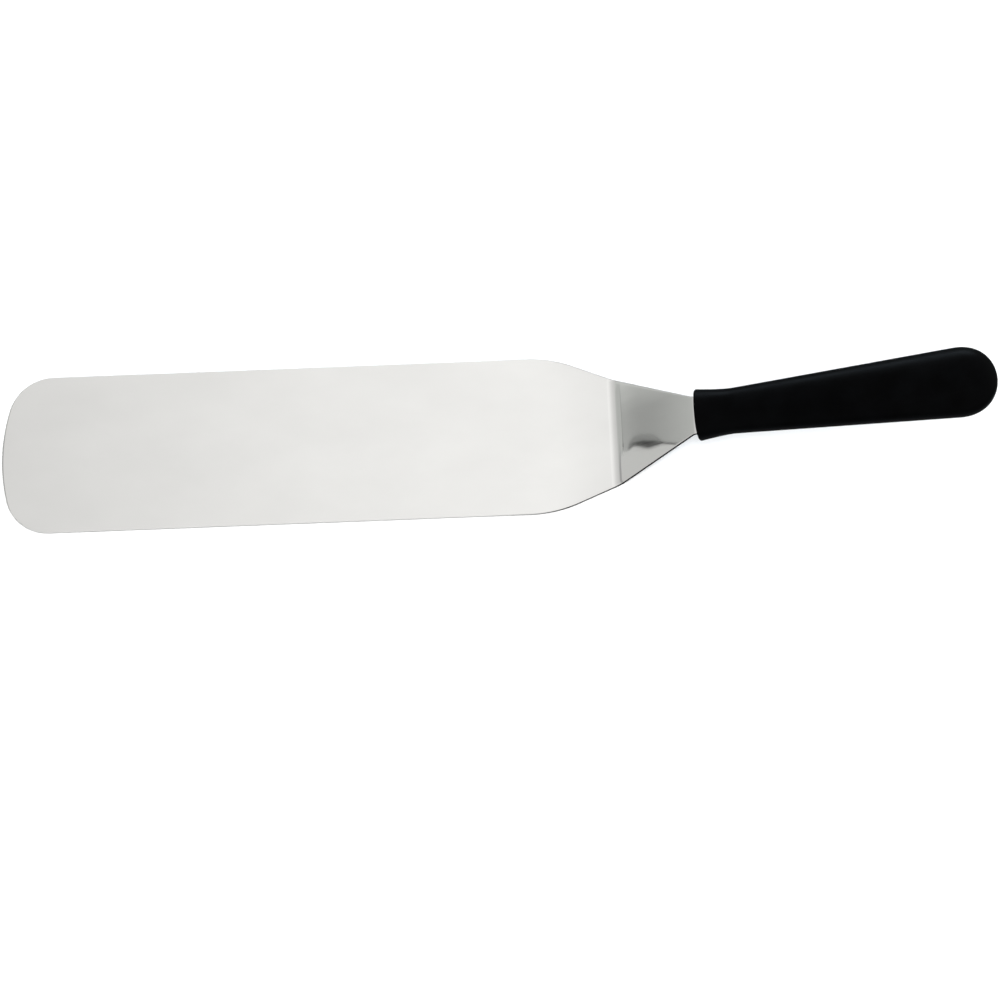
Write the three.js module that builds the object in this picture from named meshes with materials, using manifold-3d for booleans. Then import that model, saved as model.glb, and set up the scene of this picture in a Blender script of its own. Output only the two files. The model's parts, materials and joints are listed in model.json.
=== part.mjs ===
// Offset spatula: a cranked stainless steel blade whose tang is moulded into a plastic handle.
// Millimetres, +Z up. The origin is the middle of the blade's flat underside, +X runs from
// the blade's tip to the handle, and the object is symmetric about the XZ plane.
import * as THREE from 'three';
import { mergeVertices } from 'three/addons/utils/BufferGeometryUtils.js';
import Module from 'manifold-3d';

const wasm = await Module();
wasm.setup();

const { degToRad } = THREE.MathUtils;

// Sheet and blade
const SHEET = 1.5;
const BLADE_LENGTH = 300; // tip to the crank's bend line
const BLADE_WIDTH = 80;
const TIP_END_RADIUS = 94; // shallow arc across the tip
const TIP_CORNER_RADIUS = 22;
const SHOULDER_SETBACK = 31; // corner where the blade starts to narrow, before the bend line
const SHOULDER_RADIUS = 62;
const CRANK_WIDTH = 54.2; // at the bend line

// Cranked neck, straight-sided from the bend line to the tang
const CRANK_ANGLE = degToRad(30);
const CRANK_BEND_RADIUS = 13; // inside radius, on the blade's upper side
const NECK_LENGTH = 41; // bend line to bend line, on the upper side
const TANG_ANGLE = degToRad(15); // slope of the tang and the handle
const TANG_BEND_RADIUS = 6.5; // inside radius, on the lower side

// Tang
const TANG_ROOT_WIDTH = 19;
const TANG_ROOT_RADIUS = 6; // fillet between the neck's taper and the tang
const TANG_ROOT_LENGTH = 8; // from the second bend line to where the tang narrows
const TANG_WIDTH = 12;
const TANG_TAPER_LENGTH = 15;
const TANG_DEPTH = 95; // length inside the handle
const TANG_END_RADIUS = 4;
const TANG_HOLE_RADIUS = 3.5;
const TANG_HOLE_DEPTHS = [40, 75]; // hole centres, from the handle's front face

// Handle
const HANDLE_GAP = 2.2; // bare tang between the second bend line and the handle
const HANDLE_LENGTH = 140;
const FRONT_WIDTH = 25;
const FRONT_HEIGHT = 20;
const WAIST_WIDTH = 21.7;
const WAIST_HEIGHT = 17;
const BUTT_WIDTH = 33;
const BUTT_HEIGHT = 21;
const COLLAR_LENGTH = 17; // the flare behind the front face
const COLLAR_FLARE = 1.5; // exponent of the flare
const BUTT_LENGTH = 19; // the rounded end
const BUTT_ROUNDNESS = 2.2; // exponent of the rounded end, 2 is an ellipse
const FRONT_EDGE_RADIUS = 1;
const SECTION_SQUARENESS = 0.85; // 1 is an ellipse, less is squarer
const SECTION_SIDES = 40;

const MOULDING_GAP = 0.3; // between the tang and the handle
const OVERCUT = 1; // how far a cutting shape passes beyond what it cuts
const ARC_STEPS = 12; // chords in an arc
const COLLAR_STEPS = 6;
const EDGE_STEPS = 3;

const BEND_X = BLADE_LENGTH / 2; // the crank's bend line
const TIP_X = -BLADE_LENGTH / 2;

// Corners of the bent sheet's upper side, seen from the side: tip, two bend lines, tang end.
function sheetLine() {
  const along = (start, length, angle) =>
    new THREE.Vector2(Math.cos(angle), Math.sin(angle)).multiplyScalar(length).add(start);
  const tip = new THREE.Vector2(TIP_X, SHEET);
  const crank = new THREE.Vector2(BEND_X, SHEET);
  const neckEnd = along(crank, NECK_LENGTH, CRANK_ANGLE);
  const tangEnd = along(neckEnd, HANDLE_GAP + TANG_DEPTH, TANG_ANGLE);
  return [tip, crank, neckEnd, tangEnd];
}

// The handle's frame: its origin is the middle of the front face, +X runs along the handle.
function handleMatrix() {
  const [, , neckEnd] = sheetLine();
  const slope = new THREE.Vector2(Math.cos(TANG_ANGLE), Math.sin(TANG_ANGLE));
  const upward = new THREE.Vector2(-slope.y, slope.x);
  const front = neckEnd.addScaledVector(slope, HANDLE_GAP).addScaledVector(upward, -SHEET / 2);
  return new THREE.Matrix4().makeRotationY(-TANG_ANGLE).setPosition(front.x, 0, front.y);
}

// Adds a line and then an arc that rounds the corner towards the next point.
function lineToRounded(path, previous, corner, next, radius) {
  const back = previous.clone().sub(corner).normalize();
  const ahead = next.clone().sub(corner).normalize();
  const halfAngle = Math.acos(back.dot(ahead)) / 2;
  const setback = radius / Math.tan(halfAngle);
  const bisector = back.clone().add(ahead).normalize();
  const centre = corner.clone().addScaledVector(bisector, radius / Math.sin(halfAngle));
  const start = corner.clone().addScaledVector(back, setback);
  const end = corner.clone().addScaledVector(ahead, setback);
  const clockwise = back.cross(ahead) > 0;
  const [from, to] = [start, end].map((point) => point.clone().sub(centre).angle());
  path.lineTo(start.x, start.y);
  path.absarc(centre.x, centre.y, radius, from, to, clockwise);
}

// Closed shape through corners {at, radius}. The first is sharp, and so is one without a radius.
function roundedShape(corners) {
  const [first, ...others] = corners;
  const shape = new THREE.Shape().moveTo(first.at.x, first.at.y);
  others.forEach(({ at, radius }, i) => {
    if (radius) {
      const next = corners[(i + 2) % corners.length];
      lineToRounded(shape, corners[i].at, at, next.at, radius);
    } else {
      shape.lineTo(at.x, at.y);
    }
  });
  return shape;
}

// Where the sheet's lower side has its corners: each upper line moved down by the sheet.
function lowerCorners(upper) {
  const directions = upper.slice(1).map((point, i) => point.clone().sub(upper[i]).angle());
  return upper.map((point, i) => {
    const before = directions[Math.max(i - 1, 0)];
    const after = directions[Math.min(i, directions.length - 1)];
    const middle = (before + after) / 2;
    const depth = SHEET / Math.cos((after - before) / 2);
    return new THREE.Vector2(Math.sin(middle), -Math.cos(middle)).multiplyScalar(depth).add(point);
  });
}

// The bent sheet seen from the side, in X and Z.
function sideShape() {
  const upper = sheetLine();
  const lower = lowerCorners(upper);
  const corners = [
    { at: lower[0] },
    { at: lower[1], radius: CRANK_BEND_RADIUS + SHEET },
    { at: lower[2], radius: TANG_BEND_RADIUS },
    { at: lower[3] },
    { at: upper[3] },
    { at: upper[2], radius: TANG_BEND_RADIUS + SHEET },
    { at: upper[1], radius: CRANK_BEND_RADIUS },
    { at: upper[0] },
  ];
  return roundedShape(corners);
}

// Half of the tang's outline in the handle's frame, from where it narrows to its end.
function tangCorners(offset = 0) {
  const root = TANG_ROOT_LENGTH - HANDLE_GAP;
  const corner = (x, halfWidth, radius) => ({ at: new THREE.Vector2(x, halfWidth + offset), radius });
  return [
    corner(root, TANG_ROOT_WIDTH / 2, TANG_ROOT_RADIUS),
    corner(root + TANG_TAPER_LENGTH, TANG_WIDTH / 2, TANG_ROOT_RADIUS),
    corner(TANG_DEPTH + offset, TANG_WIDTH / 2, TANG_END_RADIUS + offset),
  ];
}

const mirrored = ({ at, radius }) => ({ at: new THREE.Vector2(at.x, -at.y), radius });

// The whole sheet seen from above, in X and Y.
function planShape() {
  const half = BLADE_WIDTH / 2;
  const [, , neckEnd] = sheetLine();
  const tang = tangCorners().map(({ at, radius }) => {
    const along = (at.x + HANDLE_GAP) * Math.cos(TANG_ANGLE);
    return { at: new THREE.Vector2(neckEnd.x + along, at.y), radius };
  });
  const side = [
    { at: new THREE.Vector2(0, half) },
    { at: new THREE.Vector2(BEND_X - SHOULDER_SETBACK, half), radius: SHOULDER_RADIUS },
    { at: new THREE.Vector2(BEND_X, CRANK_WIDTH / 2) },
    { at: new THREE.Vector2(neckEnd.x, TANG_ROOT_WIDTH / 2), radius: TANG_ROOT_RADIUS },
    ...tang,
  ];
  const outline = roundedShape([...side.map(mirrored), ...side.reverse()]);

  // The rounded tip joins the two sides at the middle of the blade.
  const cornerY = half - TIP_CORNER_RADIUS;
  const endX = TIP_X + TIP_END_RADIUS;
  const reach = Math.sqrt((TIP_END_RADIUS - TIP_CORNER_RADIUS) ** 2 - cornerY ** 2);
  const meet = Math.atan2(cornerY, -reach);
  outline.absarc(endX - reach, cornerY, TIP_CORNER_RADIUS, Math.PI / 2, meet);
  outline.absarc(endX, 0, TIP_END_RADIUS, meet, 2 * Math.PI - meet);
  outline.absarc(endX - reach, -cornerY, TIP_CORNER_RADIUS, 2 * Math.PI - meet, 1.5 * Math.PI);
  return outline;
}

const extrude = (shape, depth) =>
  new THREE.ExtrudeGeometry(shape, { depth, bevelEnabled: false, curveSegments: ARC_STEPS / 2 });

// A closed geometry as a solid that can be joined and cut.
function solidOf(geometry) {
  const bare = geometry.clone();
  bare.deleteAttribute('normal');
  bare.deleteAttribute('uv');
  const merged = mergeVertices(bare, 1e-4);
  const index = merged.index.array;
  const triVerts = [];
  for (let i = 0; i < index.length; i += 3) {
    const [a, b, c] = index.slice(i, i + 3);
    if (a !== b && b !== c && c !== a) triVerts.push(a, b, c);
  }
  const vertProperties = merged.attributes.position.array;
  return new wasm.Manifold(
    new wasm.Mesh({ numProp: 3, vertProperties, triVerts: Uint32Array.from(triVerts) }),
  );
}

function geometryOf(solid) {
  const { vertProperties, triVerts } = solid.getMesh();
  const geometry = new THREE.BufferGeometry();
  geometry.setAttribute('position', new THREE.BufferAttribute(vertProperties, 3));
  geometry.setIndex(new THREE.BufferAttribute(triVerts, 1));
  geometry.computeVertexNormals();
  return geometry;
}

// Upright cylinders at the tang's holes, in the handle's frame.
function holeCylinders(radius, height) {
  return TANG_HOLE_DEPTHS.map((depth) =>
    new THREE.CylinderGeometry(radius, radius, height, 2 * ARC_STEPS)
      .rotateX(Math.PI / 2)
      .translate(depth, 0, 0));
}

// Blade, neck and tang: one sheet, cut to its outline, bent twice and drilled.
function bladeGeometry() {
  const halfWidth = BLADE_WIDTH / 2 + OVERCUT;
  const side = extrude(sideShape(), 2 * halfWidth).rotateX(Math.PI / 2).translate(0, halfWidth, 0);
  const tangEnd = sheetLine().at(-1);
  const plan = extrude(planShape(), tangEnd.y + 2 * OVERCUT).translate(0, 0, -OVERCUT);
  const sheet = solidOf(side).intersect(solidOf(plan));
  const holes = holeCylinders(TANG_HOLE_RADIUS, SHEET + 2 * OVERCUT);
  const cut = (solid, hole) => solid.subtract(solidOf(hole.applyMatrix4(handleMatrix())));
  return geometryOf(holes.reduce(cut, sheet));
}

// Half the handle's width or height at a distance from its front face: flared at the front,
// narrow at the waist, widest before the rounded butt.
function handleHalf(distance, front, waist, butt) {
  const bodyLength = HANDLE_LENGTH - BUTT_LENGTH - COLLAR_LENGTH;
  const slope = (butt - waist) / bodyLength;
  const body = waist + slope * Math.max(distance - COLLAR_LENGTH, 0);
  const flare = (front - waist) * Math.max(1 - distance / COLLAR_LENGTH, 0) ** COLLAR_FLARE;
  const intoButt = Math.max((distance + BUTT_LENGTH - HANDLE_LENGTH) / BUTT_LENGTH, 0);
  const round = Math.sqrt(Math.max(1 - intoButt ** BUTT_ROUNDNESS, 0));
  const toEdge = Math.max(FRONT_EDGE_RADIUS - distance, 0);
  const edge = FRONT_EDGE_RADIUS - Math.sqrt(FRONT_EDGE_RADIUS ** 2 - toEdge ** 2);
  return ((body + flare) * round) / 2 - edge;
}

// Distances from the front face at which the handle's section is set.
function handleStations() {
  const buttStart = HANDLE_LENGTH - BUTT_LENGTH;
  const parts = (count) => Array.from({ length: count }, (_, i) => (i + 1) / count);
  const edge = parts(EDGE_STEPS).map((part) => 1 - Math.cos(part * Math.PI / 2));
  const collar = parts(COLLAR_STEPS).map((part) =>
    FRONT_EDGE_RADIUS + (COLLAR_LENGTH - FRONT_EDGE_RADIUS) * part);
  const butt = parts(ARC_STEPS).map((part) => buttStart + BUTT_LENGTH * Math.sin(part * Math.PI / 2));
  return [0, ...edge.map((part) => part * FRONT_EDGE_RADIUS), ...collar, buttStart, ...butt];
}

// The outer shape of the handle, in its own frame.
function handleBody() {
  const width = (distance) => handleHalf(distance, FRONT_WIDTH, WAIST_WIDTH, BUTT_WIDTH);
  const height = (distance) => handleHalf(distance, FRONT_HEIGHT, WAIST_HEIGHT, BUTT_HEIGHT);
  const profile = handleStations().map((distance) => new THREE.Vector2(width(distance), distance));
  const body = new THREE.LatheGeometry([new THREE.Vector2(0, 0), ...profile], SECTION_SIDES);
  const position = body.attributes.position;
  const squarer = (value) => Math.sign(value) * Math.abs(value) ** SECTION_SQUARENESS;
  for (let i = 0; i < position.count; i += 1) {
    const distance = position.getY(i);
    const radius = Math.hypot(position.getX(i), position.getZ(i));
    if (radius > 0) {
      const across = width(distance) * squarer(position.getZ(i) / radius);
      const up = height(distance) * squarer(position.getX(i) / radius);
      position.setXYZ(i, distance, across, up);
    } else {
      position.setXYZ(i, distance, 0, 0);
    }
  }
  return body;
}

// The space for the tang, open at the handle's front face and crossed by the two keys.
function tangSlot() {
  const mouth = new THREE.Vector2(-HANDLE_GAP, TANG_ROOT_WIDTH / 2 + MOULDING_GAP);
  const half = [{ at: mouth }, ...tangCorners(MOULDING_GAP)];
  const outline = roundedShape([...half.map(mirrored), ...half.reverse()]);
  const depth = SHEET + 2 * MOULDING_GAP;
  const slot = solidOf(extrude(outline, depth).translate(0, 0, -depth / 2));
  const keys = holeCylinders(TANG_HOLE_RADIUS - MOULDING_GAP, depth + 2 * OVERCUT).map(solidOf);
  return keys.reduce((space, key) => space.subtract(key), slot);
}

function handleGeometry() {
  return geometryOf(solidOf(handleBody()).subtract(tangSlot()));
}

function piece(name, geometry, material) {
  const mesh = new THREE.Mesh(geometry, new THREE.MeshStandardMaterial(material));
  mesh.name = name;
  return mesh;
}

const blade = piece('blade', bladeGeometry(), { color: 0xd6d5d2, roughness: 0.28, metalness: 1 });
const handle = piece('handle', handleGeometry(), { color: 0x08090b, roughness: 0.5, metalness: 0 });

const handlePlace = new THREE.Group();
handlePlace.applyMatrix4(handleMatrix());
handlePlace.add(handle);

const spatula = new THREE.Group();
spatula.add(blade, handlePlace);

export default spatula;
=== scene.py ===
"""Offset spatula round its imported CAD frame: a bent sheet-steel blade and a moulded handle.

Metres, +Z up, in the frame of the CAD model: the origin is the middle of the blade's flat
underside, +X runs from the blade's tip to the handle, and the object is symmetric about XZ.
"""

import json
import math

import bmesh
import bpy
import numpy as np
from mathutils import Matrix, Vector


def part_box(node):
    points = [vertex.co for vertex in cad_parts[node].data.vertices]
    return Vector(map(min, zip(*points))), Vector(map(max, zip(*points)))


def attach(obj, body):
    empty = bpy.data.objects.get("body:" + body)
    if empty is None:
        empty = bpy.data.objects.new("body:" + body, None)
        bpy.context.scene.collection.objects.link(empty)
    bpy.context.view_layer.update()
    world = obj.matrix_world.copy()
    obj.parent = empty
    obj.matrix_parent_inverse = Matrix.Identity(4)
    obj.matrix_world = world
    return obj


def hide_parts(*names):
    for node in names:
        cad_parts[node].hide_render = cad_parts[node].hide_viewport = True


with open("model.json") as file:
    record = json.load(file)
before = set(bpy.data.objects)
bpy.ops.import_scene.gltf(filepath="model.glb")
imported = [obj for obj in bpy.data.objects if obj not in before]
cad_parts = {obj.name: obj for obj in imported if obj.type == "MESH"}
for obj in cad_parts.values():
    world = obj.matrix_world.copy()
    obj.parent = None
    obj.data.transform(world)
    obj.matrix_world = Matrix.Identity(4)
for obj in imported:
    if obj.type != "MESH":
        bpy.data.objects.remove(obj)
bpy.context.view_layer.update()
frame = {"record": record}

MM = 0.001

# Blade, from the frame
blade_low, blade_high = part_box("blade")
mounts = {mount["name"]: mount for mount in frame["record"]["mounts"]}
SHEET = mounts["blade_top"]["pos_m"][2]
TIP_X = blade_low.x
BEND_X = -TIP_X  # the crank's bend line
HALF_WIDTH = blade_high.y

# Blank of the blade, neck and tang
TIP_END_RADIUS = 94 * MM
TIP_CORNER_RADIUS = 22 * MM
SHOULDER_SETBACK = 31 * MM
SHOULDER_RADIUS = 62 * MM
CRANK_WIDTH = 54.2 * MM
TANG_ROOT_WIDTH = 19 * MM
TANG_ROOT_RADIUS = 6 * MM
TANG_ROOT_LENGTH = 8 * MM  # from the second bend's line to where it narrows
TANG_WIDTH = 12 * MM
TANG_TAPER_LENGTH = 15 * MM
TANG_DEPTH = 95 * MM  # from the handle's front face, as are the holes' depths
TANG_END_RADIUS = 4 * MM
TANG_HOLE_RADIUS = 3.5 * MM
TANG_HOLE_DEPTHS = (40 * MM, 75 * MM)
SHEET_EDGE_RADIUS = 0.3 * MM
GROUND_LENGTH = 105 * MM  # of the blade's edge, from its middle
GROUND_FADE = 20 * MM  # the grinding fades out this far on either side of that

# Bends, with radii on the sheet's upper side
CRANK_ANGLE = math.radians(30)
CRANK_BEND_RADIUS = 13 * MM
NECK_LENGTH = 41 * MM
TANG_ANGLE = math.radians(15)
TANG_BEND_RADIUS = 8 * MM

# Handle
HANDLE_GAP = 2.2 * MM  # from the second bend's line to the front face
HANDLE_LENGTH = 140 * MM
FRONT_SIZE = (25 * MM, 20 * MM)  # width and height
WAIST_SIZE = (21.7 * MM, 17 * MM)
BUTT_SIZE = (33 * MM, 21 * MM)
COLLAR_LENGTH = 17 * MM
COLLAR_FLARE = 1.5
WAIST_SOFTNESS = 2 * MM  # how gently the collar runs into the body
BUTT_LENGTH = 19 * MM
BUTT_ROUNDNESS = 2.2
FRONT_EDGE_RADIUS = 1 * MM
SECTION_SQUARENESS = 0.85
MOULDING_GAP = 0.1 * MM
MOUTH_EDGE_RADIUS = 0.3 * MM

# Mesh density
ARC_STEP = 0.2 * MM
TIP_STEP = 0.8 * MM
BLADE_STEP = 4 * MM
SHOULDER_STEP = 2 * MM
CRANK_STEP = 0.3 * MM
NECK_STEP = 2 * MM
TANG_BEND_STEP = 0.25 * MM
TANG_ROOT_STEP = 1.5 * MM
TANG_HOLE_STEP = 0.5 * MM
TANG_STEP = 2 * MM
TANG_END_STEP = 0.7 * MM
COLLAR_STEP = 0.7 * MM
BODY_STEP = 2.5 * MM
BODY_START = 1.4 * COLLAR_LENGTH
EDGE_STEPS = 4
BUTT_STEPS = 30
BLADE_COLUMNS = 32
TIP_REACH = 60 * MM  # how far the rows of the blade keep some of the tip's curve
MOUTH_COLUMNS = 44
WALL_STEPS = 4
SECTION_SIDES = 2 * (MOUTH_COLUMNS + WALL_STEPS)
FRONT_FACE_SHARES = (0.15, 0.5, 0.85)
SHARP_ANGLE = math.radians(35)
SHADING_WEIGHT = 100  # the larger faces decide the shading next to them

PLACE = "place"  # where a point lies in the unbent sheet, or in the handle's own frame
EDGE_SLOT = 1  # the blade's second material, on its cut edge

# Camera
VIEW_AZIMUTH = math.radians(1.39)
VIEW_ELEVATION = math.radians(72.87)
VIEW_ROLL = math.radians(-3.54)
VIEW_DISTANCE = 963.6 * MM
VIEW_AIM = Vector((92.2, -32.2, 1.5)) * MM
LENS = 71.91  # millimetres, as is the sensor
SENSOR_WIDTH = 36.0

# Materials: a pitch is along the sheet or handle and across it
NOISE_SPREAD = (0.3, 0.7)  # where nearly all of a noise lies
STEEL_GRAIN = (30 * MM, 0.25 * MM)
STEEL_HAZE = (45 * MM, 25 * MM)
STEEL_WAVE = (30 * MM, 14 * MM)
STEEL_RIPPLE = (9 * MM, 5 * MM)
HAIRLINE_PITCH = (14 * MM, 0.12 * MM)
HAIRLINE_SHARE = (0.68, 0.75)  # of the noise, past which there is a hairline
STEEL_ROUGHNESS = (0.018, 0.032)
HAZE_SHARE = (0.4, 0.7)  # of the noise, between which haze roughens the steel
HAZE_ROUGHNESS = 0.010
HAIRLINE_ROUGHNESS = 0.05
STEEL_HAZY = (0.705, 0.70, 0.69)
STEEL_CLEAR = (0.735, 0.73, 0.72)
STEEL_ANISOTROPY = 0.3
WAVE_HEIGHT = 0.016 * MM
RIPPLE_HEIGHT = 0.003 * MM
STEEL_GRAIN_HEIGHT = 0.00008 * MM
EDGE_GRAIN = (0.8 * MM, 0.15 * MM)
EDGE_GRAIN_HEIGHT = 0.003 * MM
# The dark cut face below the rim carries painted shade as well as the dull tone of unground steel.
EDGE_CUT = (-0.008 * MM, -0.03 * MM)  # from the polished rim down to the dark cut
EDGE_ROUGHNESS = (0.32, 0.44)
EDGE_GROUND = (0.66, 0.655, 0.645)
# Painted shade: the near-black of the cut face stands in for contact shadow and dark reflection
# along the edge, over the steel's own dull tone.
EDGE_DARK_AND_SHADE = (0.012, 0.012, 0.012)
EDGE_METAL = 0.6
EDGE_SPECULAR = 0.03
PLASTIC_GRAIN = (0.3 * MM, 0.3 * MM)
PLASTIC_SINK = (18 * MM, 9 * MM)
PLASTIC_HAZE = (12 * MM, 12 * MM)
PARTING_LINE = (0.08 * MM, 0.2 * MM)  # half of its flat top, and of its foot
PLASTIC_ROUGHNESS = (0.34, 0.42)
UNEVEN_GLOSS = (-0.04, 0.05)
PLASTIC_BLACK = (0.0004, 0.0004, 0.0005)
PLASTIC_FADED = (0.0009, 0.0010, 0.0012)
FADED_SHARE = (0.35, 0.7)  # of the noise, between which the black fades
PLASTIC_SPECULAR = 0.019
SINK_HEIGHT = 0.02 * MM
PARTING_HEIGHT = 0.03 * MM
PLASTIC_GRAIN_HEIGHT = 0.006 * MM
FLOOR_ROUGHNESS = 0.7

# Colours and strengths of the studio
WHITE = (1.0, 1.0, 1.0)
BLACK = (0.0, 0.0, 0.0)
FLOOR_COLOUR = (0.93, 0.93, 0.93)
FLOOR_GLOW = (0.9, 0.96, 1.0)  # of the dim floor that reflections see
WINDOW_GLOW = (0.99, 1.0, 0.98)
WALL_GLOW = (0.975, 1.0, 0.97)
SKY_GLOW = (1.0, 1.0, 0.99)
RIM_GLOW = (0.70, 0.86, 1.0)
FLOOR_LIGHT = 0.33
PANE_LIGHT = 0.71
FRAME_LIGHT = 0.01
CATCH_LIGHT = 0.315
HEAD_LIGHT = 0.465

# Floor and backdrop
FLOOR_HALF = 3.0
FLOOR_HEIGHT = -0.05 * MM
BACKDROP_RADIUS = 3.2
BACKDROP_HEIGHT = 2.5
BACKDROP_SIDES = 48

# Window beyond the tip, seen only in reflections
WINDOW_X = -0.40
WINDOW_START = -0.5  # along Y
WINDOW_SIDE = (  # heights, and where the side is along Y
    (0.0, 0.204),
    (0.364, 0.206),
    (0.377, 0.2155),
    (0.392, 0.2155),
    (0.406, 0.2205),
    (0.44, 0.2215),
    (0.64, 0.262),
)
FRAME_HEIGHTS = (0.372, 0.44)
FRAME_STEPS = 28
FRAME_OVERLAP = 0.002
FRAME_WIDTH = 0.0025
FRAME_SWELL = 0.003  # it is wider by this much at the catch
FRAME_REACH = 0.010
CATCH_HEIGHT = 0.39
CATCH_WIDTH = 0.012
CATCH_REACH = 0.016
HEAD_TOP = 0.86
HEAD_INSET = 0.018
HEAD_LEAN = 0.03
PANEL_GAP = 0.0005  # between the pane, its frame and the wall

# Wall behind the window: its light rises between these places
WALL_HALF = 0.6
WALL_TOP = 0.92
WALL_LEAN = 0.25
WALL_FAR = (0.245, 0.29, 0.28)  # from and to along Y, and by how much
WALL_HIGH = (0.39, 0.45, 0.165)  # the same along Z
WALL_LOW = (0.360, 0.388, 0.125)  # here it falls by this much instead
WALL_BASE = (0.7, 1.5, 0.42, 0.64)  # from and to along Z, light at each
WALL_END = (0.45, 0.6)  # where it fades out along Y

# Light from the sky against the X part of its direction
SKY = (
    (-1.0, 1.05),
    (-0.75, 1.0),
    (-0.54, 0.62),
    (-0.48, 0.73),
    (-0.41, 0.785),
    (-0.345, 0.83),
    (-0.24, 0.93),
    (-0.1, 1.12),
    (0.02, 1.20),
    (0.05, 1.10),
    (0.3, 1.05),
)

# Lamps
LAMP_AIM = Vector((0.09, -0.03, 0.0))
KEY_PLACE = Vector((0.10, -0.50, 1.6))
KEY_SIZE = (0.7, 0.7)
KEY_WATTS = 16.0
RIM_PLACE = Vector((0.25, 1.1, 0.30))
RIM_AIM = Vector((0.2, 0.0, 0.03))
RIM_SIZE = (0.9, 0.3)
RIM_WATTS = 9.0


# ---------------------------------------------------------------- flat outlines

def arc(centre, radius, start, end):
    """Points along an arc, no further apart than ARC_STEP."""
    count = math.ceil(abs(end - start) * radius / ARC_STEP) + 1
    angles = np.linspace(start, end, count)
    x = centre[0] + radius * np.cos(angles)
    y = centre[1] + radius * np.sin(angles)
    return np.column_stack((x, y))


def unit(vector):
    return vector / np.linalg.norm(vector)


def rounded(corners):
    """A line through corners (x, y, radius), with each one but the first and last rounded."""
    places = [np.array(corner[:2]) for corner in corners]
    line = [places[0][None]]
    for before, at, after, corner in zip(places, places[1:], places[2:], corners[1:]):
        back = unit(before - at)
        ahead = unit(after - at)
        half = math.acos(back @ ahead) / 2
        radius = corner[2]
        centre = at + unit(back + ahead) * radius / math.sin(half)
        spokes = [at + way * radius / math.tan(half) - centre for way in (back, ahead)]
        start, end = (math.atan2(spoke[1], spoke[0]) for spoke in spokes)
        turn = (end - start + math.pi) % (2 * math.pi) - math.pi
        line.append(arc(centre, radius, start, start + turn))
    line.append(places[-1][None])
    return np.concatenate(line)


def blade_tip():
    """Half of the rounded tip, from the middle of the tip to the side."""
    corner_y = HALF_WIDTH - TIP_CORNER_RADIUS
    end_x = TIP_X + TIP_END_RADIUS
    reach = math.sqrt((TIP_END_RADIUS - TIP_CORNER_RADIUS) ** 2 - corner_y ** 2)
    meet = math.atan2(corner_y, -reach)
    end = arc((end_x, 0), TIP_END_RADIUS, math.pi, meet)
    corner = arc((end_x - reach, corner_y), TIP_CORNER_RADIUS, meet, math.pi / 2)
    return np.concatenate((end, corner[1:]))


def tang_corners(start, offset=0.0):
    """Half of the tang's outline from where it narrows, with the handle's front face at start."""
    root = start + TANG_ROOT_LENGTH - HANDLE_GAP
    end = start + TANG_DEPTH + offset
    half = TANG_WIDTH / 2 + offset
    return [
        (root, TANG_ROOT_WIDTH / 2 + offset, TANG_ROOT_RADIUS),
        (root + TANG_TAPER_LENGTH, half, TANG_ROOT_RADIUS),
        (end, half, TANG_END_RADIUS + offset),
        (end, 0.0, 0.0),
    ]


# ---------------------------------------------------------------- the bent sheet

def bend_setback(radius, angle):
    return radius * math.tan(angle / 2)


CRANK_SETBACK = bend_setback(CRANK_BEND_RADIUS, CRANK_ANGLE)
TANG_SETBACK = bend_setback(TANG_BEND_RADIUS, CRANK_ANGLE - TANG_ANGLE)

# Length and turn of each stretch of the sheet's upper side, from the middle of the blade.
STRETCHES = (
    (BEND_X - CRANK_SETBACK, 0.0),
    (CRANK_BEND_RADIUS * CRANK_ANGLE, CRANK_ANGLE),
    (NECK_LENGTH - CRANK_SETBACK - TANG_SETBACK, 0.0),
    (TANG_BEND_RADIUS * (CRANK_ANGLE - TANG_ANGLE), TANG_ANGLE - CRANK_ANGLE),
)
STRETCH_ENDS = np.cumsum([length for length, _ in STRETCHES])
CRANK_START, CRANK_END, TANG_BEND_START, TANG_BEND_END = STRETCH_ENDS
FRONT_STATION = TANG_BEND_END + HANDLE_GAP - TANG_SETBACK  # the handle's front face
TANG_END = FRONT_STATION + TANG_DEPTH


def bent(along):
    """X, Z and slope of the sheet's upper side at distances along it."""
    x = np.zeros_like(along)
    z = np.full_like(along, SHEET)
    slope = np.zeros_like(along)
    start = 0.0
    for index, (length, turn) in enumerate(STRETCHES + ((math.inf, 0.0),)):
        least = 0.0 if index else -math.inf
        gone = np.clip(along - start, least, length)
        if turn:
            radius = length / turn
            after = slope + gone / radius
            x += radius * (np.sin(after) - np.sin(slope))
            z += radius * (np.cos(slope) - np.cos(after))
            slope = after
        else:
            x += gone * np.cos(slope)
            z += gone * np.sin(slope)
        start += length
    return x, z, slope


def on_sheet(flat, depth):
    """Places in the row frame of flat points (along, across), at a depth under the upper side."""
    x, z, slope = bent(flat[..., 0])
    x = x + depth * np.sin(slope)
    z = z - depth * np.cos(slope)
    return np.stack((x, flat[..., 1], z), axis=-1)


def handle_matrix():
    """The handle's frame: its origin is the middle of the front face, +X along the handle."""
    front = on_sheet(np.array([[FRONT_STATION, 0.0]]), SHEET / 2)[0]
    return Matrix.Translation(Vector(front)) @ Matrix.Rotation(-TANG_ANGLE, 4, "Y")


# ---------------------------------------------------------------- plates

def spaced(*stops):
    """Positions from stops (position, step to the next one), each stretch in even steps."""
    parts = []
    for (start, step), (end, _) in zip(stops, stops[1:]):
        count = max(1, round((end - start) / step))
        parts.append(np.linspace(start, end, count, endpoint=False))
    return np.concatenate(parts + [[stops[-1][0]]])


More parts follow.
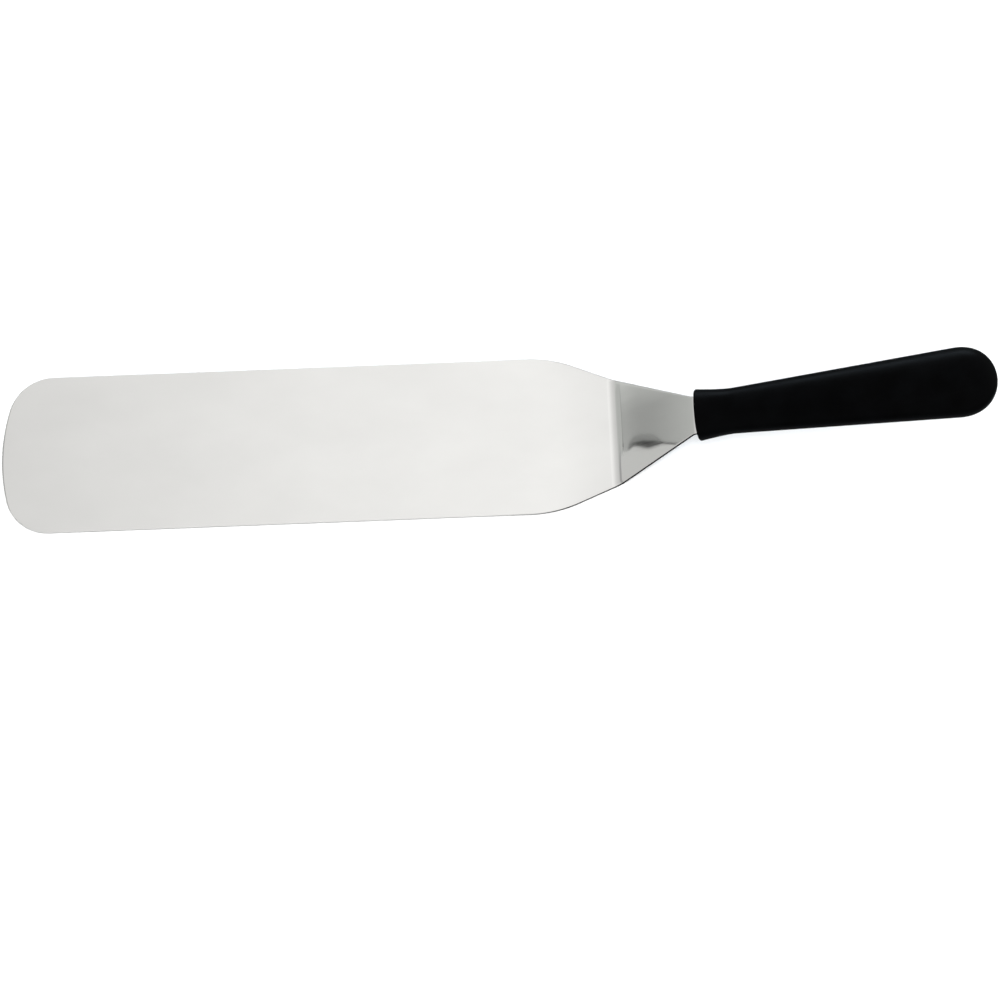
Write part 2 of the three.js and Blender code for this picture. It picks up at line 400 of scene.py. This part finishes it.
def even_points(line, count):
    """Points at even distances along a line."""
    steps = np.linalg.norm(np.diff(line, axis=0), axis=1)
    gone = np.concatenate(([0.0], np.cumsum(steps)))
    at = np.linspace(0.0, gone[-1], count)
    return np.column_stack([np.interp(at, gone, line[:, axis]) for axis in (0, 1)])


def split_outline(line):
    """A half outline as its front, its side and its back, cut halfway round the end corners."""
    steps = np.diff(line, axis=0)
    lengthwise = np.flatnonzero(steps[:, 0] > abs(steps[:, 1]))
    first, last = lengthwise[0], lengthwise[-1] + 1
    return line[: first + 1], line[first : last + 1], line[last:]


def flat_grid(line, stops, columns, reach):
    """Rows of flat points that fill an outline.

    stops are the step at the front, and then (position, step) wherever the step changes. The
    rows within reach of either end follow some of its curve.
    """
    front, side, back = split_outline(line)
    stops = [(side[0, 0], stops[0]), *stops[1:], (side[-1, 0], 0.0)]
    along = spaced(*stops)
    across = np.linspace(-1.0, 1.0, columns + 1)
    half = np.interp(along, side[:, 0], side[:, 1])
    grid = np.stack(np.broadcast_arrays(along[:, None], half[:, None] * across), axis=-1)
    for row, end in ((0, front[::-1]), (-1, back)):
        curve = np.concatenate((end * (1, -1), end[::-1]))
        bulge = even_points(curve, columns + 1) - grid[row]
        fade = np.clip(1.0 - abs(along - along[row]) / reach, 0.0, 1.0)
        grid = grid + fade[:, None, None] * bulge
    return grid


def rim(rows, columns, is_open=False):
    """Grid places round a block (first, last) of rows and columns, in order."""
    near = [(row, columns[0]) for row in range(rows[0], rows[1])]
    end = [(rows[1], column) for column in range(columns[0], columns[1])]
    far = [(row, columns[1]) for row in range(rows[1], rows[0], -1)]
    start = [(rows[0], column) for column in range(columns[1], columns[0], -1)]
    return near + end + far + (start[:1] if is_open else start)


def outward(outline, is_open):
    """Unit normals of an outline that runs with its inside on the right."""
    if is_open:
        way = np.gradient(outline, axis=0)
    else:
        way = np.roll(outline, -1, axis=0) - np.roll(outline, 1, axis=0)
    way /= np.linalg.norm(way, axis=1)[:, None]
    return np.column_stack((way[:, 1], -way[:, 0]))


def bridge(bm, first, second, is_open=False, material=0):
    """Quads between two rings of vertices."""
    count = len(first)
    for here in range(count - 1 if is_open else count):
        there = (here + 1) % count
        face = bm.faces.new((first[here], first[there], second[there], second[here]))
        face.material_index = material


def add_points(bm, flat, depth, place):
    """Vertices at flat points and a depth, which each keep their place in the unbent plate."""
    kept = bm.verts.layers.float_vector[PLACE]
    verts = []
    for (along, across), at in zip(flat, place(flat, depth)):
        vert = bm.verts.new(at)
        vert[kept] = (along, across, -depth)
        verts.append(vert)
    return verts


def plate(bm, grid, walls, place, holes=(), is_open=False):
    """A plate with the shape of a flat grid.

    walls are (inset, depth) from the upper rim to the lower one, place maps flat points and a
    depth to 3-D, and holes are (station, radius). Returns the ring round an open start.
    """
    last_row, last_column = grid.shape[0] - 1, grid.shape[1] - 1
    loop = rim((0, last_row), (0, last_column), is_open)
    outline = np.array([grid[at] for at in loop])
    normals = outward(outline, is_open)
    depths = (walls[0][1], walls[-1][1])
    flat = grid.copy()
    for at, point, normal in zip(loop, outline, normals):
        flat[at] = point - normal * walls[0][0]
    layers = [[add_points(bm, row, depth, place) for row in flat] for depth in depths]
    upper, lower = layers

    rings = []
    for inset, depth in walls[1:-1]:
        rings.append(add_points(bm, outline - normals * inset, depth, place))
    rims = [[layer[row][column] for row, column in loop] for layer in layers]
    chain = [rims[0], *rings, rims[1]]
    for first, second in zip(chain, chain[1:]):
        bridge(bm, first, second, is_open, material=EDGE_SLOT)

    drilled = set()
    for station, radius in holes:
        drilled |= drill(bm, flat, layers, depths, place, station, radius)
    for row in range(last_row):
        for column in range(last_column):
            if (row, column) not in drilled:
                for layer in layers:
                    near, far = layer[row], layer[row + 1]
                    bm.faces.new((near[column], near[column + 1], far[column + 1], far[column]))
    left, right = ([ring[end] for ring in rings] for end in (0, -1))
    return upper[0][::-1] + left + lower[0] + right[::-1]


def drill(bm, flat, layers, depths, place, station, radius):
    """A round hole through a plate's two layers. Returns the grid cells that it takes."""
    columns = (1, flat.shape[1] - 2)
    along = flat[:, 0, 0]
    middle = np.argmin(abs(along - station))
    inside = np.flatnonzero(abs(along - station) < flat[middle, columns[1], 1] + ARC_STEP)
    rows = (int(inside[0]), int(inside[-1]))
    block = rim(rows, columns)
    spokes = np.array([flat[at] for at in block]) - (station, 0.0)
    circle = spokes / np.linalg.norm(spokes, axis=1)[:, None] * radius
    rings = [ring + (station, 0.0) for ring in ((spokes + circle) / 2, circle)]
    chains = []
    for layer, depth in zip(layers, depths):
        steps = [add_points(bm, ring, depth, place) for ring in rings]
        chains.append([[layer[row][column] for row, column in block], *steps])
    chain = chains[0] + chains[1][::-1]
    for first, second in zip(chain, chain[1:]):
        bridge(bm, first, second)
    return {(row, column) for row in range(*rows) for column in range(*columns)}


# ---------------------------------------------------------------- pieces

def new_mesh():
    bm = bmesh.new()
    bm.verts.layers.float_vector.new(PLACE)
    return bm


def add_piece(name, bm, node, materials):
    """A finished piece that stands for a CAD node."""
    bmesh.ops.recalc_face_normals(bm, faces=bm.faces)
    mesh = bpy.data.meshes.new(name)
    bm.to_mesh(mesh)
    bm.free()
    mesh.shade_smooth()
    mesh.set_sharp_from_angle(angle=SHARP_ANGLE)
    for material in materials:
        mesh.materials.append(material)
    piece = bpy.data.objects.new(name, mesh)
    bpy.context.scene.collection.objects.link(piece)
    shading = piece.modifiers.new("even_shading", "WEIGHTED_NORMAL")
    shading.weight = SHADING_WEIGHT
    shading.keep_sharp = True
    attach(piece, "root")
    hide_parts(node)
    return piece


def edge_walls():
    """The rounded edge of the sheet, as (inset, depth) from its upper rim to its lower one."""
    angles = np.linspace(0.0, math.pi / 2, EDGE_STEPS + 1)
    inset = SHEET_EDGE_RADIUS * (1 - np.sin(angles))
    depth = SHEET_EDGE_RADIUS * (1 - np.cos(angles))
    upper = list(zip(inset, depth))
    return upper + [(far_in, SHEET - deep) for far_in, deep in reversed(upper)]


def hole_stops(start, half_width, columns):
    """Stops for flat_grid round the tang's holes, with the handle's front face at start."""
    reach = half_width * (1 - 2 / columns)
    stops = []
    for depth in TANG_HOLE_DEPTHS:
        station = start + depth
        stops += [(station - reach, TANG_HOLE_STEP), (station + reach, TANG_STEP)]
    return stops


def sheet_grid():
    """Flat rows for the whole blank: blade, neck and tang."""
    corners = [
        (0.0, HALF_WIDTH, 0.0),
        (BEND_X - SHOULDER_SETBACK, HALF_WIDTH, SHOULDER_RADIUS),
        ((CRANK_START + CRANK_END) / 2, CRANK_WIDTH / 2, SHOULDER_RADIUS),
        ((TANG_BEND_START + TANG_BEND_END) / 2, TANG_ROOT_WIDTH / 2, TANG_ROOT_RADIUS),
        *tang_corners(FRONT_STATION),
    ]
    outline = np.concatenate((blade_tip(), rounded(corners)))
    stops = [
        TIP_STEP,
        (TIP_X + TIP_CORNER_RADIUS, BLADE_STEP),
        (BEND_X - 1.5 * SHOULDER_SETBACK, SHOULDER_STEP),
        (CRANK_START, CRANK_STEP),
        (CRANK_END, NECK_STEP),
        (TANG_BEND_START, TANG_BEND_STEP),
        (TANG_BEND_END, TANG_ROOT_STEP),
        *hole_stops(FRONT_STATION, TANG_WIDTH / 2, BLADE_COLUMNS),
        (TANG_END - 2 * TANG_END_RADIUS, TANG_END_STEP),
    ]
    return flat_grid(outline, stops, BLADE_COLUMNS, TIP_REACH)


def add_blade():
    """The blade, neck and drilled tang, as one bent sheet."""
    bm = new_mesh()
    holes = [(FRONT_STATION + depth, TANG_HOLE_RADIUS) for depth in TANG_HOLE_DEPTHS]
    plate(bm, sheet_grid(), edge_walls(), on_sheet, holes)
    return add_piece("steel_blade", bm, "blade", (steel(), steel_edge()))


def handle_half(distance, sizes):
    """Half the handle's width or height at a distance from its front face."""
    front, waist, butt = sizes
    past_collar = distance - COLLAR_LENGTH
    slope = (butt - waist) / (HANDLE_LENGTH - BUTT_LENGTH - COLLAR_LENGTH)
    body = waist + slope * (past_collar + math.hypot(past_collar, WAIST_SOFTNESS)) / 2
    flare = (front - waist) * max(-past_collar / COLLAR_LENGTH, 0.0) ** COLLAR_FLARE
    into_butt = max(distance + BUTT_LENGTH - HANDLE_LENGTH, 0.0) / BUTT_LENGTH
    round_off = math.sqrt(max(1 - into_butt ** BUTT_ROUNDNESS, 0.0))
    to_edge = max(FRONT_EDGE_RADIUS - distance, 0.0)
    edge = FRONT_EDGE_RADIUS - math.sqrt(FRONT_EDGE_RADIUS ** 2 - to_edge ** 2)
    return (body + flare) * round_off / 2 - edge


def handle_section(distance):
    """Points round the handle, from its +Y side over the top."""
    turn = np.linspace(0.0, 2 * math.pi, SECTION_SIDES, endpoint=False)
    halves = [handle_half(distance, sizes) for sizes in zip(FRONT_SIZE, WAIST_SIZE, BUTT_SIZE)]
    waves = np.cos(turn), np.sin(turn)
    squarer = [np.sign(wave) * abs(wave) ** SECTION_SQUARENESS for wave in waves]
    across, up = (half * wave for half, wave in zip(halves, squarer))
    return np.column_stack((np.full_like(turn, distance), across, up))


def handle_stations():
    """Distances of the handle's sections from its front face, without the end of the butt."""
    butt_start = HANDLE_LENGTH - BUTT_LENGTH
    edge = FRONT_EDGE_RADIUS * (1 - np.cos(np.linspace(0.0, math.pi / 2, EDGE_STEPS + 1)))
    body = spaced((FRONT_EDGE_RADIUS, COLLAR_STEP), (BODY_START, BODY_STEP), (butt_start, 0.0))
    butt = butt_start + BUTT_LENGTH * np.sin(np.linspace(0.0, math.pi / 2, BUTT_STEPS + 1))
    return [*edge, *body[1:], *butt[1:-1]]


def add_section(bm, places):
    """A ring of the handle's skin, which keeps its place in the handle's own frame."""
    kept = bm.verts.layers.float_vector[PLACE]
    verts = [bm.verts.new(place) for place in places]
    for vert in verts:
        vert[kept] = vert.co
    return verts


def add_cavity(bm):
    """The space round the tang with its two keys. Returns the ring at its mouth."""
    half = SHEET / 2 + MOULDING_GAP
    mouth_half = TANG_ROOT_WIDTH / 2 + MOULDING_GAP
    outline = rounded([(MOUTH_EDGE_RADIUS, mouth_half, 0.0), *tang_corners(0.0, MOULDING_GAP)])
    stops = [
        TANG_ROOT_STEP,
        *hole_stops(0.0, TANG_WIDTH / 2 + MOULDING_GAP, MOUTH_COLUMNS),
        (TANG_DEPTH - 2 * TANG_END_RADIUS, TANG_END_STEP),
    ]
    grid = flat_grid(outline, stops, MOUTH_COLUMNS, 4 * TANG_END_RADIUS)
    walls = [(0.0, 2 * half * step / WALL_STEPS) for step in range(WALL_STEPS + 1)]

    def place(flat, depth):
        return np.column_stack((flat, np.full(len(flat), half - depth)))

    keys = [(depth, TANG_HOLE_RADIUS - MOULDING_GAP) for depth in TANG_HOLE_DEPTHS]
    return plate(bm, grid, walls, place, keys, is_open=True)


def mouth_lips(inner):
    """Rings round the rounded edge of the mouth, from the cavity out to the front face."""
    half_sizes = abs(inner[:, 1:]).max(axis=0)
    lips = []
    for angle in np.linspace(0.0, math.pi / 2, EDGE_STEPS + 1)[1:]:
        growth = 1 + MOUTH_EDGE_RADIUS * (1 - math.cos(angle)) / half_sizes
        depth = np.full(len(inner), MOUTH_EDGE_RADIUS * (1 - math.sin(angle)))
        lips.append(np.column_stack((depth, inner[:, 1:] * growth)))
    return lips


def add_handle():
    """The handle's cavity, mouth, front face and skin, as one closed mesh."""
    bm = new_mesh()
    mouth = add_cavity(bm)
    turned = WALL_STEPS // 2
    mouth = mouth[-turned:] + mouth[:-turned]  # so it starts on the +Y side, as the sections do
    lips = mouth_lips(np.array([vert.co for vert in mouth]))
    sections = [handle_section(distance) for distance in handle_stations()]
    face = [lips[-1] + (sections[0] - lips[-1]) * share for share in FRONT_FACE_SHARES]
    rings = [mouth, *(add_section(bm, places) for places in (*lips, *face, *sections))]
    for first, second in zip(rings, rings[1:]):
        bridge(bm, first, second)
    end = add_section(bm, [(HANDLE_LENGTH, 0.0, 0.0)])[0]
    for here, there in zip(rings[-1], rings[-1][1:] + rings[-1][:1]):
        bm.faces.new((here, there, end))
    bm.transform(handle_matrix())
    return add_piece("handle_grip", bm, "handle", (black_plastic(),))


# ---------------------------------------------------------------- materials

class Surface:
    """A material with short ways to add its nodes."""

    def __init__(self, name):
        self.material = bpy.data.materials.new(name)
        self.material.use_nodes = True
        self.nodes = self.material.node_tree.nodes
        self.links = self.material.node_tree.links
        self.shader = self.nodes["Principled BSDF"]

    def feed(self, socket, value):
        if isinstance(value, bpy.types.NodeSocket):
            self.links.new(value, socket)
        else:
            socket.default_value = value

    def add(self, kind, inputs, **settings):
        made = self.nodes.new("ShaderNode" + kind)
        for name, value in settings.items():
            setattr(made, name, value)
        for name, value in inputs.items():
            self.feed(made.inputs[name], value)
        return made

    def place(self):
        """Where the point lies in the unbent sheet, or in the handle's own frame, in metres."""
        return self.add("Attribute", {}, attribute_name=PLACE).outputs["Vector"]

    def noise(self, place, pitch, detail):
        """Noise from 0 to 1, with its coarsest features a pitch (along, across) apart."""
        along, across = pitch
        scale = (1 / along, 1 / across, 1 / across)
        at = self.add("VectorMath", {0: place, 1: scale}, operation="MULTIPLY").outputs[0]
        return self.add("TexNoise", {"Vector": at, "Scale": 1.0, "Detail": detail}).outputs["Fac"]

    def remap(self, value, low, high, to_low, to_high, soft=False):
        """A value between two limits, spread between two others and held at them beyond."""
        limits = {"From Min": low, "From Max": high, "To Min": to_low, "To Max": to_high}
        kind = "SMOOTHSTEP" if soft else "LINEAR"
        made = self.add("MapRange", {"Value": value, **limits}, interpolation_type=kind)
        return made.outputs["Result"]

    def math(self, operation, first, second):
        return self.add("Math", {0: first, 1: second}, operation=operation).outputs[0]

    def tint(self, share, low, high):
        """A colour between two others."""
        mixed = self.add("Mix", {"Factor": share}, data_type="RGBA")
        self.feed(mixed.inputs[6], (*low, 1.0))
        self.feed(mixed.inputs[7], (*high, 1.0))
        return mixed.outputs[2]

    def bump(self, height, distance, under=None):
        """A bump whose height runs from 0 to a distance, over another bump."""
        made = self.add("Bump", {"Height": height, "Distance": distance, "Strength": 1.0})
        if under is not None:
            self.feed(made.inputs["Normal"], under)
        return made.outputs["Normal"]

    def finish(self, **inputs):
        """The finished material, with these inputs of its shader."""
        for name, value in inputs.items():
            self.feed(self.shader.inputs[name.replace("_", " ")], value)
        return self.material


def steel():
    """Bright stainless sheet with a fine lengthwise polishing grain and faint handling marks."""
    look = Surface("steel")
    place = look.place()
    grain = look.noise(place, STEEL_GRAIN, detail=3.0)
    haze = look.noise(place, STEEL_HAZE, detail=4.0)
    wave = look.noise(place, STEEL_WAVE, detail=1.0)
    ripple = look.noise(place, STEEL_RIPPLE, detail=0.0)
    hairline = look.noise(place, HAIRLINE_PITCH, detail=0.0)
    scratched = look.remap(hairline, *HAIRLINE_SHARE, 0.0, HAIRLINE_ROUGHNESS)
    polish = look.remap(grain, *NOISE_SPREAD, *STEEL_ROUGHNESS)
    worn = look.remap(haze, *HAZE_SHARE, 0.0, HAZE_ROUGHNESS)
    rough = look.math("ADD", look.math("ADD", polish, worn), scratched)
    clear = look.remap(haze, *NOISE_SPREAD, 0.0, 1.0)
    colour = look.tint(clear, STEEL_HAZY, STEEL_CLEAR)
    normal = look.bump(wave, WAVE_HEIGHT)
    normal = look.bump(ripple, RIPPLE_HEIGHT, normal)
    normal = look.bump(grain, STEEL_GRAIN_HEIGHT, normal)
    inputs = {"Base_Color": colour, "Roughness": rough, "Normal": normal}
    return look.finish(Metallic=1.0, Anisotropic=STEEL_ANISOTROPY, **inputs)


def steel_edge():
    """The sheet's edge: polished at its rim, ground pale on the blade, and elsewhere a cut face
    painted near-black, partly its own dull unground steel and partly painted shade.
    """
    look = Surface("steel_edge")
    place = look.place()
    grain = look.noise(place, EDGE_GRAIN, detail=3.0)
    parts = look.add("SeparateXYZ", {"Vector": place}).outputs
    fade = (GROUND_LENGTH - GROUND_FADE, GROUND_LENGTH + GROUND_FADE)
    # Painted shade goes on the edge past the ground stretch, on the shoulders, neck and tang.
    unground_and_shaded = look.remap(parts["X"], *fade, 0.0, 1.0)
    cut = look.remap(parts["Z"], *EDGE_CUT, 0.0, 1.0)
    # Painted shade: where both masks hold, the cut face is painted near-black, partly unground
    # steel and partly shadow.
    dark = look.math("MULTIPLY", unground_and_shaded, cut)
    rough = look.remap(grain, *NOISE_SPREAD, *EDGE_ROUGHNESS)
    colour = look.tint(dark, EDGE_GROUND, EDGE_DARK_AND_SHADE)
    metal = look.remap(dark, 0.0, 1.0, EDGE_METAL, 0.0)
    normal = look.bump(grain, EDGE_GRAIN_HEIGHT)
    inputs = {"Base_Color": colour, "Metallic": metal, "Roughness": rough, "Normal": normal}
    return look.finish(Specular_IOR_Level=EDGE_SPECULAR, **inputs)


def black_plastic():
    """Black moulded polypropylene with a fine satin grain and a faint parting line."""
    look = Surface("black_plastic")
    place = look.place()
    grain = look.noise(place, PLASTIC_GRAIN, detail=3.0)
    sink = look.noise(place, PLASTIC_SINK, detail=2.0)
    haze = look.noise(place, PLASTIC_HAZE, detail=4.0)
    height = look.add("SeparateXYZ", {"Vector": place}).outputs["Z"]
    parting = look.remap(look.math("ABSOLUTE", height, 0.0), *PARTING_LINE, 1.0, 0.0)
    satin = look.remap(grain, *NOISE_SPREAD, *PLASTIC_ROUGHNESS)
    worn = look.remap(haze, *NOISE_SPREAD, *UNEVEN_GLOSS)
    rough = look.math("ADD", satin, worn)
    faded = look.remap(haze, *FADED_SHARE, 0.0, 1.0)
    colour = look.tint(faded, PLASTIC_BLACK, PLASTIC_FADED)
    normal = look.bump(sink, SINK_HEIGHT)
    normal = look.bump(parting, PARTING_HEIGHT, normal)
    normal = look.bump(grain, PLASTIC_GRAIN_HEIGHT, normal)
    inputs = {"Base_Color": colour, "Roughness": rough, "Normal": normal}
    return look.finish(Specular_IOR_Level=PLASTIC_SPECULAR, **inputs)


# ---------------------------------------------------------------- studio

def glow(name, colour, strength=1.0):
    """The look of a panel that has its own light and reflects nothing."""
    look = Surface(name)
    inputs = {"Base_Color": (*BLACK, 1.0), "Emission_Color": (*colour, 1.0)}
    look.finish(Specular_IOR_Level=0.0, Emission_Strength=strength, **inputs)
    return look


def add_stage(name, corners, look, faces=None, hidden=True):
    """A part of the studio, flat unless it has faces. A hidden one shows only in reflections."""
    mesh = bpy.data.meshes.new(name)
    mesh.from_pydata(corners, [], faces or [range(len(corners))])
    mesh.materials.append(look.material)
    part = bpy.data.objects.new(name, mesh)
    bpy.context.scene.collection.objects.link(part)
    if hidden:
        part.visible_camera = False
        part.visible_diffuse = False
        part.visible_shadow = False
    return part


def floor_corners(height):
    """Corners of a square floor at a height."""
    square = ((-1, -1), (1, -1), (1, 1), (-1, 1))
    return [(x * FLOOR_HALF, y * FLOOR_HALF, height) for x, y in square]


def add_floor():
    """A pale matt floor. Reflections see a dim one just under it instead."""
    matt = Surface("floor")
    matt.finish(Base_Color=(*FLOOR_COLOUR, 1.0), Roughness=FLOOR_ROUGHNESS)
    floor = add_stage("floor", floor_corners(FLOOR_HEIGHT), matt, hidden=False)
    floor.visible_glossy = False
    dim = glow("floor_in_reflections", FLOOR_GLOW, FLOOR_LIGHT)
    add_stage("floor_in_reflections", floor_corners(2 * FLOOR_HEIGHT), dim)


def add_backdrop():
    """A white wall all round, which only the camera sees."""
    turns = np.linspace(0.0, 2 * math.pi, BACKDROP_SIDES, endpoint=False)
    ring = [(BACKDROP_RADIUS * math.cos(turn), BACKDROP_RADIUS * math.sin(turn)) for turn in turns]
    corners = [(*place, height) for height in (-BACKDROP_HEIGHT, BACKDROP_HEIGHT) for place in ring]
    sides = []
    for here in range(BACKDROP_SIDES):
        there = (here + 1) % BACKDROP_SIDES
        sides.append((here, there, there + BACKDROP_SIDES, here + BACKDROP_SIDES))
    backdrop = add_stage("backdrop", corners, glow("backdrop", WHITE), sides)
    backdrop.visible_camera = True
    backdrop.visible_glossy = False


def frame_strip(name, widths, behind, light):
    """A part of the window's frame along its side, a little behind the pane."""
    x = WINDOW_X - behind
    heights = np.linspace(*FRAME_HEIGHTS, FRAME_STEPS + 1)
    sides = np.interp(heights, *zip(*WINDOW_SIDE))
    inner = [(x, side - FRAME_OVERLAP, height) for side, height in zip(sides, heights)]
    outer = [(x, side + widths(height), height) for side, height in zip(sides, heights)]
    add_stage(name, inner + outer[::-1], glow(name, WALL_GLOW, light))


def frame_width(height):
    """The frame's width, which swells at the catch."""
    return FRAME_WIDTH + FRAME_SWELL * math.exp(-((height - CATCH_HEIGHT) / FRAME_REACH) ** 2)


def catch_width(height):
    """The catch's width, a rounded lump."""
    return CATCH_WIDTH * math.exp(-((height - CATCH_HEIGHT) / CATCH_REACH) ** 4)


def add_window():
    """A lit window beyond the tip, in a dark frame, that the neck and the bend reflect."""
    top, last_side = WINDOW_SIDE[-1]
    side = [(WINDOW_X, y, z) for z, y in WINDOW_SIDE]
    pane = [(WINDOW_X, WINDOW_START, 0.0), *side, (WINDOW_X, WINDOW_START, top)]
    add_stage("window_pane", pane, glow("window_pane", WINDOW_GLOW, PANE_LIGHT))
    frame_strip("window_frame", frame_width, 2 * PANEL_GAP, FRAME_LIGHT)
    frame_strip("window_catch", catch_width, 3 * PANEL_GAP, CATCH_LIGHT)
    x = WINDOW_X - 2 * PANEL_GAP
    far = last_side + HEAD_INSET
    head = [(WINDOW_START, top), (far, top), (far + HEAD_LEAN, HEAD_TOP), (WINDOW_START, HEAD_TOP)]
    add_stage("window_head", [(x, y, z) for y, z in head], glow("window_head", WHITE, HEAD_LIGHT))


def add_wall():
    """The wall behind the window, paler towards its far end, its top and its foot."""
    look = glow("wall", WALL_GLOW)
    position = look.add("NewGeometry", {}).outputs["Position"]
    parts = look.add("SeparateXYZ", {"Vector": position}).outputs
    lean = look.math("MULTIPLY", look.math("SUBTRACT", parts["Z"], CATCH_HEIGHT), WALL_LEAN)
    along = look.math("SUBTRACT", parts["Y"], lean)
    far = look.remap(along, *WALL_FAR[:2], 0.0, WALL_FAR[2], soft=True)
    high = look.remap(parts["Z"], *WALL_HIGH[:2], 0.0, WALL_HIGH[2], soft=True)
    base = look.remap(parts["Z"], *WALL_BASE)
    low = look.remap(parts["Z"], *WALL_LOW[:2], WALL_LOW[2], 0.0, soft=True)
    light = look.math("ADD", look.math("ADD", look.math("MAXIMUM", far, high), low), base)
    fade = look.remap(parts["Y"], *WALL_END, 1.0, 0.0, soft=True)
    look.finish(Emission_Strength=light, Alpha=fade)
    corners = [(-WALL_HALF, 0.0), (WALL_HALF, 0.0), (WALL_HALF, WALL_TOP), (-WALL_HALF, WALL_TOP)]
    add_stage("wall", [(WINDOW_X - 4 * PANEL_GAP, y, z) for y, z in corners], look)


def add_light(name, place, aim, size, watts, colour, in_reflections):
    """A soft rectangular lamp."""
    light = bpy.data.lights.new(name, "AREA")
    light.shape = "RECTANGLE"
    light.size, light.size_y = size
    light.energy = watts
    light.color = colour
    lamp = bpy.data.objects.new(name, light)
    lamp.location = place
    lamp.rotation_euler = (aim - place).to_track_quat("-Z", "Y").to_euler()
    lamp.visible_glossy = in_reflections
    lamp.visible_camera = False
    bpy.context.scene.collection.objects.link(lamp)


def add_world():
    """Soft light all round, brightest overhead and behind the handle, dim beyond the tip."""
    world = bpy.data.worlds.new("studio")
    bpy.context.scene.world = world
    world.use_nodes = True
    nodes, links = world.node_tree.nodes, world.node_tree.links
    direction = nodes.new("ShaderNodeTexCoord").outputs["Generated"]
    split = nodes.new("ShaderNodeSeparateXYZ")
    links.new(direction, split.inputs[0])
    share = nodes.new("ShaderNodeMapRange")
    share.inputs["From Min"].default_value = -1.0
    links.new(split.outputs["X"], share.inputs["Value"])
    ramp = nodes.new("ShaderNodeValToRGB")
    stops = ramp.color_ramp.elements
    while len(stops) < len(SKY):
        stops.new(0.5)  # each is put in its place below
    brightest = max(light for _, light in SKY)
    for stop, (way, light) in zip(stops, SKY):
        stop.position = (way + 1) / 2
        stop.color = (light / brightest,) * 3 + (1.0,)
    links.new(share.outputs["Result"], ramp.inputs["Fac"])
    level = nodes.new("ShaderNodeMath")
    level.operation = "MULTIPLY"
    level.inputs[1].default_value = brightest
    links.new(ramp.outputs["Color"], level.inputs[0])
    links.new(level.outputs[0], nodes["Background"].inputs["Strength"])
    nodes["Background"].inputs["Color"].default_value = (*SKY_GLOW, 1.0)


def add_camera():
    """The camera looks down on the blade from its near side, rolled a little."""
    flat = math.cos(VIEW_ELEVATION)
    up = math.sin(VIEW_ELEVATION)
    back = Vector((math.sin(VIEW_AZIMUTH) * flat, -math.cos(VIEW_AZIMUTH) * flat, up))
    right = Vector((math.cos(VIEW_AZIMUTH), math.sin(VIEW_AZIMUTH), 0.0))
    turn = Matrix((right, back.cross(right), back)).transposed().to_4x4()
    camera = bpy.data.objects.new("camera", bpy.data.cameras.new("camera"))
    camera.data.lens = LENS
    camera.data.sensor_width = SENSOR_WIDTH
    place = Matrix.Translation(VIEW_AIM + back * VIEW_DISTANCE)
    camera.matrix_world = place @ turn @ Matrix.Rotation(VIEW_ROLL, 4, "Z")
    bpy.context.scene.collection.objects.link(camera)
    bpy.context.scene.camera = camera


add_camera()
add_blade()
add_handle()
add_floor()
add_backdrop()
add_window()
add_wall()
add_light("key", KEY_PLACE, LAMP_AIM, KEY_SIZE, KEY_WATTS, WHITE, in_reflections=False)
add_light("rim", RIM_PLACE, RIM_AIM, RIM_SIZE, RIM_WATTS, RIM_GLOW, in_reflections=True)
add_world()
bpy.context.scene.view_settings.view_transform = "Standard"
